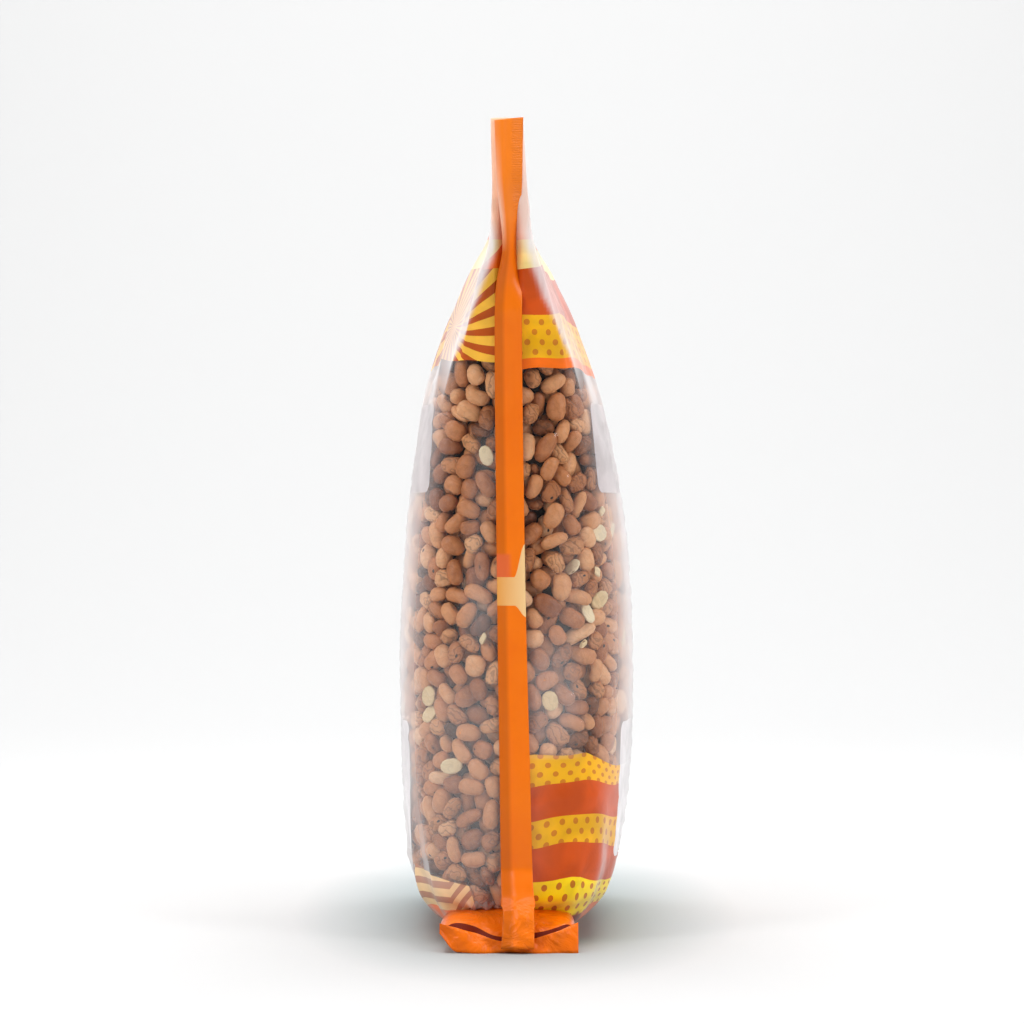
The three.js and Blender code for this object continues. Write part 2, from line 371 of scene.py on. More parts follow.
SETTLE_STEPS = 170
CALM_STEPS = 40
PAIRS_EVERY = 16
PAIR_REACH = 12.0
PUSH_SHARE = 0.55
LARGEST_MOVE = 1.2
PULL_OUT = 0.05
for step in range(SETTLE_STEPS):
    if step % PAIRS_EVERY == 0:
        first, second = find_near_pairs(place, PAIR_REACH)
        both = spread[first] + spread[second]
        both_inverse = np.linalg.inv(both)
    apart = place[second] - place[first]
    distance = np.maximum(np.linalg.norm(apart, axis=1), 1e-6)
    direction = apart / distance[:, None]
    contact = np.sqrt(2 / np.einsum("ni,nij,nj->n", direction, both_inverse, direction))
    overlap = np.maximum(contact - distance, 0) * 0.5
    push = direction * (overlap * PUSH_SHARE)[:, None]
    move = np.zeros_like(place)
    for k in range(3):
        move[:, k] += np.bincount(second, push[:, k], BEAN_COUNT)
        move[:, k] -= np.bincount(first, push[:, k], BEAN_COUNT)
    place = place + np.clip(move, -LARGEST_MOVE, LARGEST_MOVE)
    candidates_row = np.stack([np.clip(row + dr, 2, rows - 3) for dr, _ in near_steps])
    candidates_column = np.stack([(column + dc) % columns for _, dc in near_steps])
    gaps = np.linalg.norm(film_base[candidates_row, candidates_column] - place, axis=2)
    best = gaps.argmin(0)
    row = candidates_row[best, np.arange(BEAN_COUNT)]
    column = candidates_column[best, np.arange(BEAN_COUNT)]
    outward = film_normals[row, column]
    depth = np.einsum("ni,ni->n", film_base[row, column] - place, outward)
    shallow = np.maximum(reach(outward) + FILM_GAP - depth, 0)
    place = place - outward * shallow[:, None]
    pull = PULL_OUT if step < SETTLE_STEPS - CALM_STEPS else 0.0
    place = place + outward * (pull * np.clip(depth - reach(outward) - FILM_GAP, 0, 4))[:, None]
    place = keep_inside(place)


# How blunt the ends of each whole bean are and how deep its side is hollowed
WHOLE_BEANS = {
    "plain": (0.9, 0.12), "slim": (0.82, 0.3), "blunt": (0.62, 0.08), "shrivelled": (0.8, 0.16),
    "peeled": (0.9, 0.12),
}


def bean_form(name, xyz):
    """The shape of one kind of bean, from points on a unit ball: x is its length, z its thickness."""
    x, y, z = xyz.T.copy()
    if name in WHOLE_BEANS:
        power, kidney = WHOLE_BEANS[name]
        x = np.sign(x) * np.abs(x) ** power
        x, y, z = x * 0.985, y * (1 - 0.09 * x), z * (1 - 0.06 * x)
        y = y + kidney * np.exp(-((x / 0.45) ** 2)) * np.maximum(-y, 0)
    if name == "shrivelled":
        ripple = 1 + 0.08 * np.sin(5 * x + 3 * y + 1) * np.cos(4 * z - 2 * y)
        ripple = ripple + 0.05 * np.sin(9 * y + 4 * x)
        dent = 0.3 * np.exp(-((x - 0.25) ** 2 + (y + 0.15) ** 2) / 0.16) * (z > 0)
        x, y, z = x * ripple, y * ripple, z * (ripple - dent)
    if name == "peeled":
        groove = 1 - 0.16 * np.exp(-((z / 0.16) ** 2))
        x, y = x * groove, y * groove
    if name == "split":
        z = np.where(z > 0.12, 0.12 + 0.04 * (x ** 2 + y ** 2), z)
    if name == "chip":
        x, y, z = [np.sign(v) * np.abs(v) ** 0.5 for v in (x, y, z)]
        x, y = x + 0.25 * y, y - 0.2 * x * z
    points = np.stack([x, y, z], 1)
    return points / max(np.linalg.norm(points, axis=1).max() / 1.06, 1)


def ball_of_quads(cuts):
    """A unit ball made from a cube with each face cut into a few squares."""
    faces, points, index = [], [], {}
    steps = np.tan(np.linspace(-math.pi / 4, math.pi / 4, cuts + 1))
    for axis in range(3):
        for sign in (-1, 1):
            for i in range(cuts):
                for j in range(cuts):
                    corners = []
                    for u, v in ((i, j), (i + 1, j), (i + 1, j + 1), (i, j + 1)):
                        point = np.zeros(3)
                        point[axis] = sign
                        point[(axis + 1) % 3] = steps[u]
                        point[(axis + 2) % 3] = steps[v]
                        key = tuple(np.round(point, 6))
                        if key not in index:
                            index[key] = len(points)
                            points.append(point / np.linalg.norm(point))
                        corners.append(index[key])
                    faces.append(corners if sign > 0 else corners[::-1])
    return np.array(points), faces


def add_attribute(mesh, name, kind, values):
    layer = mesh.attributes.new(name, kind, "POINT")
    field = "vector" if kind == "FLOAT_VECTOR" else "value"
    layer.data.foreach_set(field, np.asarray(values, np.float32).ravel())


def new_object(name, points_mm, faces):
    mesh = bpy.data.meshes.new(name)
    mesh.from_pydata((np.asarray(points_mm) * MM).tolist(), [], faces)
    mesh.polygons.foreach_set("use_smooth", [True] * len(mesh.polygons))
    piece = bpy.data.objects.new(name, mesh)
    bpy.context.scene.collection.objects.link(piece)
    return piece


def quaternions(matrices):
    """Unit quaternions (w, x, y, z) of an array of rotation matrices."""
    m = matrices
    w = np.sqrt(np.maximum(1 + m[:, 0, 0] + m[:, 1, 1] + m[:, 2, 2], 1e-6)) / 2
    x = np.sqrt(np.maximum(1 + m[:, 0, 0] - m[:, 1, 1] - m[:, 2, 2], 0)) / 2
    y = np.sqrt(np.maximum(1 - m[:, 0, 0] + m[:, 1, 1] - m[:, 2, 2], 0)) / 2
    z = np.sqrt(np.maximum(1 - m[:, 0, 0] - m[:, 1, 1] + m[:, 2, 2], 0)) / 2
    x = np.copysign(x, m[:, 2, 1] - m[:, 1, 2])
    y = np.copysign(y, m[:, 0, 2] - m[:, 2, 0])
    z = np.copysign(z, m[:, 1, 0] - m[:, 0, 1])
    both = np.stack([w, x, y, z], 1)
    return both / np.linalg.norm(both, axis=1, keepdims=True)


def heap_tree():
    """Puts a bean on every point, turned and sized by the point's own values."""
    group = bpy.data.node_groups.new("beans of one kind", "GeometryNodeTree")
    for name, kind in (("Geometry", "Geometry"), ("Bean", "Object"), ("Skin", "Material")):
        group.interface.new_socket(name, in_out="INPUT", socket_type="NodeSocket" + kind)
    group.interface.new_socket("Geometry", in_out="OUTPUT", socket_type="NodeSocketGeometry")
    given = add_node(group, "NodeGroupInput")
    turn_value = add_node(
        group, "GeometryNodeInputNamedAttribute", {"Name": "turn"}, data_type="QUATERNION"
    )
    size_value = add_node(
        group, "GeometryNodeInputNamedAttribute", {"Name": "half_size"}, data_type="FLOAT_VECTOR"
    )
    bean = add_node(group, "GeometryNodeObjectInfo", {"Object": given.outputs["Bean"]})
    placed = add_node(
        group, "GeometryNodeInstanceOnPoints",
        {"Points": given.outputs["Geometry"], "Instance": bean.outputs["Geometry"],
         "Rotation": turn_value, "Scale": size_value}
    )
    real = add_node(group, "GeometryNodeRealizeInstances", {"Geometry": placed})
    skinned = add_node(
        group, "GeometryNodeSetMaterial", {"Geometry": real, "Material": given.outputs["Skin"]}
    )
    add_node(group, "NodeGroupOutput", {"Geometry": skinned})
    return group


def bean_skin(name, shades, hole_share, wrinkle_mm, furrow_shade_share, roughness):
    """Dry seed skin: satin, mottled and furrowed, with a brown eye and, on a few beans, a weevil hole.
    The furrows and the hole are painted dark as shade.
    """
    material, tree = new_material(name)
    tint = add_node(tree, "Attribute", attribute_name="tint").outputs["Fac"]
    on_bean = add_node(tree, "Attribute", attribute_name="bean_place").outputs["Vector"]
    in_bag = add_node(tree, "TexCoord").outputs["Object"]
    mottle = add_node(
        tree, "TexNoise", {"Scale": 420.0, "Detail": 3.0, "Roughness": 0.6, "Vector": in_bag}
    )
    shift = add_node(tree, "Math", [mottle, 0.34, -0.17], operation="MULTIPLY_ADD")
    shade = add_node(tree, "Math", [tint, shift], operation="ADD")
    ramp = add_node(tree, "ValToRGB", {"Fac": shade})
    stops = ramp.color_ramp.elements
    while len(stops) < len(shades):
        stops.new(0.5)
    for i, shade_colour in enumerate(shades):
        stops[i].position = i / (len(shades) - 1)
        stops[i].color = opaque(shade_colour)
    from_eye = add_node(tree, "VectorMath", [on_bean, (0.05, -0.96, 0.1)], operation="DISTANCE")
    eye = add_node(tree, "MapRange", [from_eye, 0.34, 0.2, 0.0, 0.6])
    pupil = add_node(tree, "MapRange", [from_eye, 0.13, 0.07, 0.0, 0.8])
    with_eye = add_node(tree, "Mix", {0: eye, 6: ramp, 7: opaque("8A5A3C")}, data_type="RGBA")
    with_pupil = add_node(tree, "Mix", {0: pupil, 6: with_eye, 7: opaque("3A2013")}, data_type="RGBA")
    from_hole = add_node(tree, "VectorMath", [on_bean, (0.3, 0.35, 0.86)], operation="DISTANCE")
    hole = add_node(tree, "MapRange", [from_hole, 0.17, 0.12])
    draw = add_node(tree, "Attribute", attribute_name="draw").outputs["Fac"]
    holed = add_node(tree, "Math", [draw, hole_share], operation="LESS_THAN")
    hole_mask = add_node(tree, "Math", [hole, holed], operation="MULTIPLY")
    # The hole is painted near-black: painted shade in its hollow.
    with_hole_shade = add_node(
        tree, "Mix", {0: hole_mask, 6: with_pupil, 7: opaque("20110A")}, data_type="RGBA"
    )
    wrinkle = add_node(
        tree, "TexWave",
        {"Scale": 150.0, "Distortion": 14.0, "Detail": 2.0, "Detail Scale": 1.4, "Vector": in_bag},
        bands_direction="DIAGONAL"
    )
    # Painted shade: the troughs of the wrinkles are painted dark brown.
    furrow_shade = add_node(tree, "MapRange", [wrinkle.outputs["Fac"], 0.22, 0.06, 0.0, furrow_shade_share])
    coloured = add_node(tree, "Mix", {0: furrow_shade, 6: with_hole_shade, 7: opaque("3B2114")}, data_type="RGBA")
    bump = add_node(
        tree, "Bump", {"Strength": 0.6, "Distance": wrinkle_mm * MM, "Height": wrinkle.outputs["Fac"]}
    )
    shader = add_node(
        tree, "BsdfPrincipled",
        {"Roughness": roughness, "Specular IOR Level": 0.35, "Base Color": coloured, "Normal": bump}
    )
    finish_material(tree, shader)
    return material


dry_skin = bean_skin(
    "dry cowpea skin, satin", ("522A13", "90512A", "C4804F", "DA9D6B", "EFC196"), 0.1, 0.08, 0.1, 0.42
)
wrinkled_skin = bean_skin(
    "shrivelled cowpea skin, dull", ("42220F", "7E4925", "B27042", "CB8D5A", "E4AE7E"),
    0.25, 0.3, 0.4, 0.5,
)
bare_bean = bean_skin(
    "peeled and split bean, chalky", ("B98D55", "D3B07A", "E3C998", "EBD7AC", "F0E2C0"),
    0.1, 0.1, 0.1, 0.6,
)
KIND_SKINS = (dry_skin,) * 3 + (wrinkled_skin,) + (bare_bean,) * 3

ball_points, ball_faces = ball_of_quads(3)
tint = np.clip(rng.normal(0.56, 0.19, BEAN_COUNT), 0.02, 0.98)
draw = rng.random(BEAN_COUNT)
BEAN_VALUES = (
    ("turn", "QUATERNION", quaternions(turned)), ("half_size", "FLOAT_VECTOR", half_sizes),
    ("tint", "FLOAT", tint), ("draw", "FLOAT", draw),
)
heap_group = heap_tree()
sockets = {
    item.name: item.identifier for item in heap_group.interface.items_tree if item.in_out == "INPUT"
}
for number, kind_name in enumerate(KIND_NAMES):
    mine = kind == number
    bean = new_object("one " + kind_name, bean_form(kind_name, ball_points), ball_faces)
    add_attribute(bean.data, "bean_place", "FLOAT_VECTOR", ball_points)
    heap = new_object("beans_" + kind_name, place[mine], [])
    for value_name, value_kind, values in BEAN_VALUES:
        add_attribute(heap.data, value_name, value_kind, values[mine])
    modifier = heap.modifiers.new("heap", "NODES")
    modifier.node_group = heap_group
    modifier[sockets["Bean"]] = bean
    modifier[sockets["Skin"]] = KIND_SKINS[number]
    depsgraph = bpy.context.evaluated_depsgraph_get()
    made = bpy.data.meshes.new_from_object(
        heap.evaluated_get(depsgraph), preserve_all_data_layers=True, depsgraph=depsgraph
    )
    heap.modifiers.clear()
    heap.data = made
    bpy.data.objects.remove(bean)
    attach(heap, "root")

# The dark between the beans: a plain core inside the heap, which keeps light from passing between them
# and stands for all the beans further in. Its dark brown is painted shade of those unlit beans. It is a
# tube in the shape of the bag, two beans smaller.
CORE_STEPS = (60, 96)
core_heights = np.linspace(LOWEST_BEAN + 4, HIGHEST_BEAN - 8, CORE_STEPS[0])


def tube_faces(row_count, column_count):
    """Quads of a tube of rings, and quads that close its first and last ring like a ladder."""
    def at(r, c):
        return r * column_count + c % column_count

    walls = [
        (at(r, c), at(r, c + 1), at(r + 1, c + 1), at(r + 1, c))
        for r in range(row_count - 1) for c in range(column_count)
    ]
    ends = []
    last = row_count - 1
    for c in range(column_count // 2):
        mirror = column_count - 1 - c
        low = (at(0, c), at(0, -c), at(0, -c - 1), at(0, c + 1))
        high = (at(last, c + 1), at(last, mirror), at(last, mirror + 1), at(last, c))
        for corners in (low, high):
            distinct = list(dict.fromkeys(corners))
            if len(distinct) > 2:
                ends.append(tuple(distinct))
    return walls, ends


core_rings = []
for height in core_heights:
    ring = even_ring(height, CORE_STEPS[1])
    a, b = half_thickness(height), half_width(height)
    middle = np.array([lean(height), FILM_CENTRE_Y, height])
    shrink = np.array([max(a - CORE_DEPTH, 1) / a, (b - CORE_DEPTH) / b, 1])
    core_rings.append(middle + (ring - middle) * shrink)
core_walls, core_ends = tube_faces(*CORE_STEPS)
core = new_object("inner_shade", np.concatenate(core_rings), core_walls + core_ends)
# Painted shade: the core is painted far darker than the beans it stands for.
core_painted_shade, tree = new_material("painted shade of the heap's depth, matt dark brown")
in_bag = add_node(tree, "TexCoord").outputs["Object"]
lumps = add_node(tree, "TexVoronoi", {"Scale": 130.0, "Vector": in_bag})
lump_shade = add_node(tree, "ValToRGB", {"Fac": lumps})
lump_shade.color_ramp.elements[0].color = opaque("4A2F20")
lump_shade.color_ramp.elements[1].color = opaque("160C07")
core_shader = add_node(
    tree, "BsdfPrincipled", {"Roughness": 0.9, "Specular IOR Level": 0.1, "Base Color": lump_shade}
)
finish_material(tree, core_shader)
core.data.materials.append(core_painted_shade)
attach(core, "root")

# The ears of the folded foot reach from here to there in X and are lowest in the middle
EAR_LEFT, EAR_RIGHT, EAR_MIDDLE = -27.0, 21.5, 1.0

# The sealed film: clear, soft and glossy, clinging to the beans, with the print on its inside.
# One closed tube on the grid above. It lies over the beans, dips between them like a stretched sheet and
# folds at neck and foot.
FILM_DIP_LIMIT = 1.6
STRETCH_STEPS = 45
STRETCH_PULL = 0.022
FILM_OFF_BEAN = 0.4
NEAR_ROWS = 4
bean_inverse = np.linalg.inv(spread)
dip_limit = np.full((rows, columns), FILM_DIP_LIMIT)
for dr in range(-NEAR_ROWS, NEAR_ROWS + 1):
    for dc in range(-NEAR_ROWS, NEAR_ROWS + 1):
        r = np.clip(row + dr, 0, rows - 1)
        c = (column + dc) % columns
        start = film_base[r, c] - place
        inward = -film_normals[r, c]
        qa = np.einsum("ni,nij,nj->n", inward, bean_inverse, inward)
        qb = np.einsum("ni,nij,nj->n", start, bean_inverse, inward)
        qc = np.einsum("ni,nij,nj->n", start, bean_inverse, start) - 1
        inside = qb ** 2 - qa * qc
        hit = (-qb - np.sqrt(np.maximum(inside, 0))) / qa
        hit = np.where(inside > 0, np.clip(hit - FILM_OFF_BEAN, -1.2, FILM_DIP_LIMIT), FILM_DIP_LIMIT)
        np.minimum.at(dip_limit, (r, c), hit)
heaped = np.clip((film_heights - 12) / 12, 0, 1) * np.clip((240 - film_heights) / 20, 0, 1)


def neighbour_sum(field):
    """The four neighbours of each place on the film's grid, added up."""
    below = np.concatenate([field[:1], field[:-1]])
    above = np.concatenate([field[1:], field[-1:]])
    return below + above + np.roll(field, 1, 1) + np.roll(field, -1, 1)


dip = np.zeros((rows, columns))
for step in range(STRETCH_STEPS):
    dip = np.minimum(dip_limit, neighbour_sum(dip) / 4 + STRETCH_PULL * heaped[:, None])
for step in range(2):
    dip = np.minimum(0.4 * dip + 0.15 * neighbour_sum(dip), dip_limit)

# Places on the film: millimetres round the bag from the fin seal (plus is the +X side) and millimetres up
film_step = 2 * FLAT_WIDTH / columns
column_number = np.arange(columns)
round_place = np.where(column_number <= columns // 2, column_number, column_number - columns) * film_step
S, Z = np.meshgrid(round_place, film_heights)


def ridge(top, bottom, width, height):
    """A straight fold between two (round, up) places that fades out at both ends."""
    t = np.clip((Z - bottom[1]) / (top[1] - bottom[1]), 0, 1)
    middle = bottom[0] + (top[0] - bottom[0]) * t
    fade = np.sin(math.pi * t) ** 0.7
    return height * fade * np.exp(-(((S - middle) / width) ** 2))


folds = np.zeros((rows, columns))
for side in (-1, 1):
    folds += ridge((side * 9, 252), (side * 26, 186), 1.6, 0.9)
    folds += ridge((side * 13, 250), (side * 33, 176), 2.2, 0.8)
    folds -= ridge((side * 11, 252), (side * 29, 182), 1.8, 0.7)
FOLD_COUNT = 34
for number in range(FOLD_COUNT):
    foot_place = rng.uniform(-210, 210)
    folds += ridge(
        (foot_place + rng.uniform(-9, 9), rng.uniform(22, 52)), (foot_place, rng.uniform(1, 6)),
        rng.uniform(1.4, 2.6), rng.uniform(-0.6, 0.9),
    )
    neck_place = rng.uniform(-205, 205)
    folds += ridge(
        (neck_place * 0.96, rng.uniform(262, 276)),
        (neck_place + rng.uniform(-14, 14), rng.uniform(190, 225)),
        rng.uniform(1.6, 3.0), rng.uniform(-0.7, 0.9),
    )
slack = 0.35 * np.sin(S / 7.1 + 2 * np.sin(Z / 31)) * np.sin(Z / 23 + 1.3 * np.sin(S / 17))
crumpled_foot = np.exp(-(((Z - 14.6) / 1.2) ** 2) - ((S + 12) / 8) ** 4)
crumpled_foot *= 1.5 + 0.9 * np.sin(S * 1.3 + 0.6 * Z)
lift = folds + crumpled_foot + slack * heaped[:, None] - dip
film_points = film_base + film_normals * lift[..., None]
film_points[..., 2] = np.clip(film_points[..., 2], 0.0, BAG_HEIGHT)

# How milky the film is: low on the -X side and in a few cloudy patches. Beside the fin the white is
# painted
# light: a painted highlight along each corner fold with painted sheen past it, painted light on the lips
# at the neck, and a painted glint on a crumple over the foot.
corner_line = np.interp(Z, (180, 194, 207, 217, 229, 246), (33, 30, 27, 21, 13.5, 9.5))
past_corner = np.abs(S) - corner_line
# Painted highlight along each corner fold, with a paler painted sheen on the panel past it.
outside = np.where(S < 0, 0.86, 0.72)
corner_painted_highlight = outside + (1 - outside) * np.exp(-((past_corner / 5) ** 2))
corner_painted_highlight = np.where(past_corner < 0, np.exp(-((past_corner / 1.6) ** 2)), corner_painted_highlight)
corner_painted_highlight *= np.clip((Z - 188) / 22, 0, 1) * np.exp(-np.maximum(past_corner, 0) / 40)
# Painted light: white milk on the lips at the neck, brighter on the +X side.
neck_painted_light = np.clip((Z - 243) / 8, 0, 1) * np.exp(-((S / 22) ** 4)) * np.where(S > 0, 0.5, 0.14)
fan_haze = 0.1 * np.exp(-((S + 34) / 24) ** 4) * (Z < 19 - 0.154 * S)
low_veil = 0.16 * np.exp(-((S + 28) / 32) ** 4) * np.clip((125 - Z) / 40, 0, 1)
low_veil *= np.clip((Z - 12) / 10, 0, 1)
low_veil += 0.07 * np.exp(-((S - 34) / 24) ** 4 - ((Z - 100) / 30) ** 4)
cloud = np.zeros((rows, columns))
CLOUD_COUNT = 60
for number in range(CLOUD_COUNT):
    cloud_place = (rng.uniform(-218, 218), rng.uniform(10, 200))
    cloud_size = (rng.uniform(6, 16), rng.uniform(8, 26))
    away = ((S - cloud_place[0]) / cloud_size[0]) ** 2 + ((Z - cloud_place[1]) / cloud_size[1]) ** 2
    cloud += rng.uniform(0.02, 0.15) * np.exp(-away)
cloud *= np.where((S > 0) & (Z < 67), 0.35, 1)
# Painted glint: white milk on the crumple over the foot, where it would catch the light.
foot_painted_glint = np.exp(-(((Z - 14.8) / 0.9) ** 2) - ((S + 12) / 7.5) ** 4)
foot_painted_glint *= 0.6 + 0.4 * np.sin(S * 1.9 + Z)
# The film's own haze, then painted highlights, painted light and a painted glint on top of it.
haze_and_painted_light = np.minimum(np.maximum(cloud - 0.05, 0) + low_veil, 0.2)
haze_and_painted_light += np.where(S < 0, 0.88, 0.72) * corner_painted_highlight + neck_painted_light + 0.95 * foot_painted_glint + fan_haze
haze_and_painted_light = np.clip(haze_and_painted_light, 0, 0.9)

# How far the print leaves the level: each low band of the +X side rises to a crest and drops past it
BAND_EDGES = (14, 23.4, 34, 44.4, 56, 67.4, 90)
band_rise = np.interp(Z, BAND_EDGES, (-1.5, 0.6, 2.0, 2.4, 3.8, 0.6, 0))
band_drop = np.interp(Z, BAND_EDGES, (-1.5, 3.9, 1.5, 0.2, 0.6, 9.5, 0))
low_bands = band_rise * np.exp(-(((S - 25) / 14) ** 2)) - band_drop * np.clip((S - 26) / 24, 0, 1)
high_wave = np.sin(2 * math.pi * (S - 8) / 64) * np.clip((Z - 150) / 50, 0, 1)
print_wave = np.where(S > 0, low_bands, 0) + high_wave
print_wave += 0.4 * np.sin(S / 3.7 + 0.09 * Z)

film_walls, film_ends = tube_faces(rows, columns)
film = new_object("film", film_points.reshape(-1, 3), film_walls + film_ends)


def corner_vertices(piece):
    index = np.zeros(len(piece.data.loops), np.int32)
    piece.data.loops.foreach_get("vertex_index", index)
    return index


def add_place_map(piece, name, across, up):
    """A UV map that holds each face corner's own place on the film, not a place on an image."""
    layer = piece.data.uv_layers.new(name=name)
    layer.data.foreach_set("uv", np.stack([across, up], 1).astype(np.float32).ravel())


corner_index = corner_vertices(film)
corner_column, corner_row = corner_index % columns, corner_index // columns
corner_face = np.repeat(np.arange(len(film.data.polygons)), [len(p.vertices) for p in film.data.polygons])
middle_column = columns // 2
in_seam = (corner_face % columns == middle_column) & (corner_face < len(film_walls))
in_seam &= corner_column == middle_column
corner_round = np.where(in_seam, -FLAT_WIDTH, round_place[corner_column])
add_place_map(film, "film_place", corner_round, film_heights[corner_row])
# The film behind the top edge of each ear is painted dark red brown in the crease, as painted shade
ear_top = smooth_curve(
    (EAR_LEFT, 10.4), (-15, 6.9), (-5, 4.2), (EAR_MIDDLE, 3.6), (5, 4.7), (14, 7.5), (EAR_RIGHT, 10.3)
)
film_x, film_y = film_base[..., 0], film_base[..., 1]
crease_painted_shade = np.clip((ear_top(film_x) + 0.5 - Z) / 1.4, 0, 1)
crease_painted_shade *= (np.abs(film_y) > 55) * (np.abs(film_x) < 23)
add_attribute(film.data, "taut_normal", "FLOAT_VECTOR", film_normals)
for value_name, values in (("haze_and_painted_light", haze_and_painted_light), ("print_wave", print_wave), ("crease", crease_painted_shade)):
    add_attribute(film.data, value_name, "FLOAT", values)

PRINT_YELLOW = "E9AA06"
PRINT_LEMON = "FFDC08"
PRINT_RUST = "C64A02"
PRINT_ORANGE = "EE6A04"
PRINT_PALE = "F6D98A"
PRINT_DOT = "C87614"
BADGE_WHITE = "EAE5E7"
BADGE_GREY = "C4BABB"
NO_INK = (0, 0, 0, 0)
# The bands of the +X side (plus) and of the -X side (minus), from the foot up: top height, colour, has
# dots. None is clear film.
PLUS_BANDS = (
    (10, PRINT_ORANGE, False), (23.4, PRINT_LEMON, True), (34, PRINT_RUST, False),
    (44.4, PRINT_YELLOW, True), (56, PRINT_RUST, False), (67.4, PRINT_YELLOW, True), (203.6, None, False),
    (206.8, PRINT_ORANGE, False), (222.4, PRINT_YELLOW, True), (239, PRINT_RUST, False),
    (249, PRINT_PALE, False), (BAG_HEIGHT, PRINT_ORANGE, False),
)
MINUS_FOOT = 11.5
MINUS_BANDS = (
    (MINUS_FOOT, PRINT_ORANGE, False), (206.3, None, False), (238.5, PRINT_RUST, False),
    (249, PRINT_PALE, False), (BAG_HEIGHT, PRINT_ORANGE, False),
)
BAND_SPAN = BAG_HEIGHT + 10

film_look, tree = new_material("clear packing film, glossy, reverse printed")
place_on_film = add_node(tree, "UVMap", uv_map="film_place")
split_place = add_node(tree, "SeparateXYZ", [place_on_film])
s_place, z_place = split_place.outputs["X"], split_place.outputs["Y"]
s_away = add_node(tree, "Math", [s_place], operation="ABSOLUTE")
wave = add_node(tree, "Attribute", attribute_name="print_wave").outputs["Fac"]
band_place = add_node(tree, "Math", [z_place, wave], operation="SUBTRACT")
band_share = add_node(tree, "Math", [band_place, BAND_SPAN], operation="DIVIDE")
ramps = []
for bands, dot_colour in ((PLUS_BANDS, None), (PLUS_BANDS, PRINT_DOT), (MINUS_BANDS, None)):
    ramp = add_node(tree, "ValToRGB", {"Fac": band_share})
    ramp.color_ramp.interpolation = "CONSTANT"
    band_foot = 0.0
    for i, (top, colour, has_dots) in enumerate(bands):
        stop = ramp.color_ramp.elements[i] if i < 2 else ramp.color_ramp.elements.new(band_foot)
        stop.position = band_foot
        shade = dot_colour if dot_colour and has_dots else colour
        stop.color = opaque(shade) if shade else NO_INK
        band_foot = top / BAND_SPAN
    ramps.append(ramp)
plain_bands, dotted_bands, minus_bands = ramps

# Dots in a staggered grid
DOT_CELL = (5.6, 7.1, 1.0)
DOT_RADIUS = 1.1
print_place = add_node(tree, "CombineXYZ", [s_place, band_place])
dot_grid = add_node(tree, "VectorMath", [print_place, DOT_CELL], operation="DIVIDE")
dot_distances = []
for shift in (0.0, 0.5):
    shifted = add_node(tree, "VectorMath", [dot_grid, (shift, shift, 0)], operation="ADD")
    in_cell = add_node(tree, "VectorMath", [shifted], operation="FRACTION")
    from_dot = add_node(tree, "VectorMath", [in_cell, (0.5, 0.5, 0)], operation="SUBTRACT")
    in_mm = add_node(tree, "VectorMath", [from_dot, DOT_CELL], operation="MULTIPLY")
    dot_distances.append(add_node(tree, "VectorMath", [in_mm], operation="LENGTH"))
nearest_dot = add_node(tree, "Math", dot_distances, operation="MINIMUM")
in_dot = add_node(tree, "Math", [nearest_dot, DOT_RADIUS], operation="LESS_THAN")
plus_print = add_node(
    tree, "Mix", {0: in_dot, 6: plain_bands.outputs["Color"], 7: dotted_bands.outputs["Color"]},
    data_type="RGBA"
)
plus_mask = plain_bands.outputs["Alpha"]

# The sunburst of the -X side: rays round a point beside the corner, bent a little as they leave it
RAY_FOCUS = (-31.0, 220.0, 0.0)
RAY_COUNT = 23
RAY_TOP = 239.4
RAY_SHARE = 0.54
from_focus = add_node(tree, "VectorMath", [place_on_film, RAY_FOCUS], operation="SUBTRACT")
focus_parts = add_node(tree, "SeparateXYZ", [from_focus])
ray_angle = add_node(
    tree, "Math", [focus_parts.outputs["Y"], focus_parts.outputs["X"]], operation="ARCTAN2"
)
ray_length = add_node(tree, "VectorMath", [from_focus], operation="LENGTH")
bent_angle = add_node(tree, "Math", [ray_length, -math.radians(0.6), ray_angle], operation="MULTIPLY_ADD")
ray_phase = add_node(
    tree, "Math", [bent_angle, RAY_COUNT / (2 * math.pi), 0.176], operation="MULTIPLY_ADD"
)
# The small fan at the foot: level rays that turn up to the right of a crease
FAN_CREASE = -25.0
FAN_RAY = 2.8
MIDDLE_HEIGHT = 100.0
from_crease = add_node(tree, "Math", [s_place, FAN_CREASE], operation="SUBTRACT")
past_crease = add_node(tree, "Math", [from_crease, 0.0], operation="MAXIMUM")
fan_height = add_node(tree, "Math", [past_crease, -1.0, z_place], operation="MULTIPLY_ADD")
fan_phase = add_node(tree, "Math", [fan_height, FAN_RAY * 2], operation="DIVIDE")
is_high = add_node(tree, "Math", [z_place, MIDDLE_HEIGHT], operation="GREATER_THAN")
phase = add_node(tree, "Mix", {0: is_high, 2: fan_phase, 3: ray_phase}, data_type="FLOAT")
ray_part = add_node(tree, "Math", [phase], operation="FRACT")
in_ray = add_node(tree, "Math", [ray_part, RAY_SHARE], operation="LESS_THAN")
ray_dark = add_node(tree, "Mix", {0: is_high, 6: opaque("AE6228"), 7: opaque("B24A06")}, data_type="RGBA")
ray_pale = add_node(tree, "Mix", {0: is_high, 6: opaque("EDC07C"), 7: opaque("EFB43A")}, data_type="RGBA")
rays = add_node(tree, "Mix", {0: in_ray, 6: ray_dark, 7: ray_pale}, data_type="RGBA")
ray_top = add_node(tree, "Math", [band_place, RAY_TOP], operation="LESS_THAN")
ray_low = add_node(tree, "Math", [band_place, MINUS_FOOT], operation="GREATER_THAN")
ray_zone = add_node(tree, "Math", [ray_top, ray_low], operation="MULTIPLY")
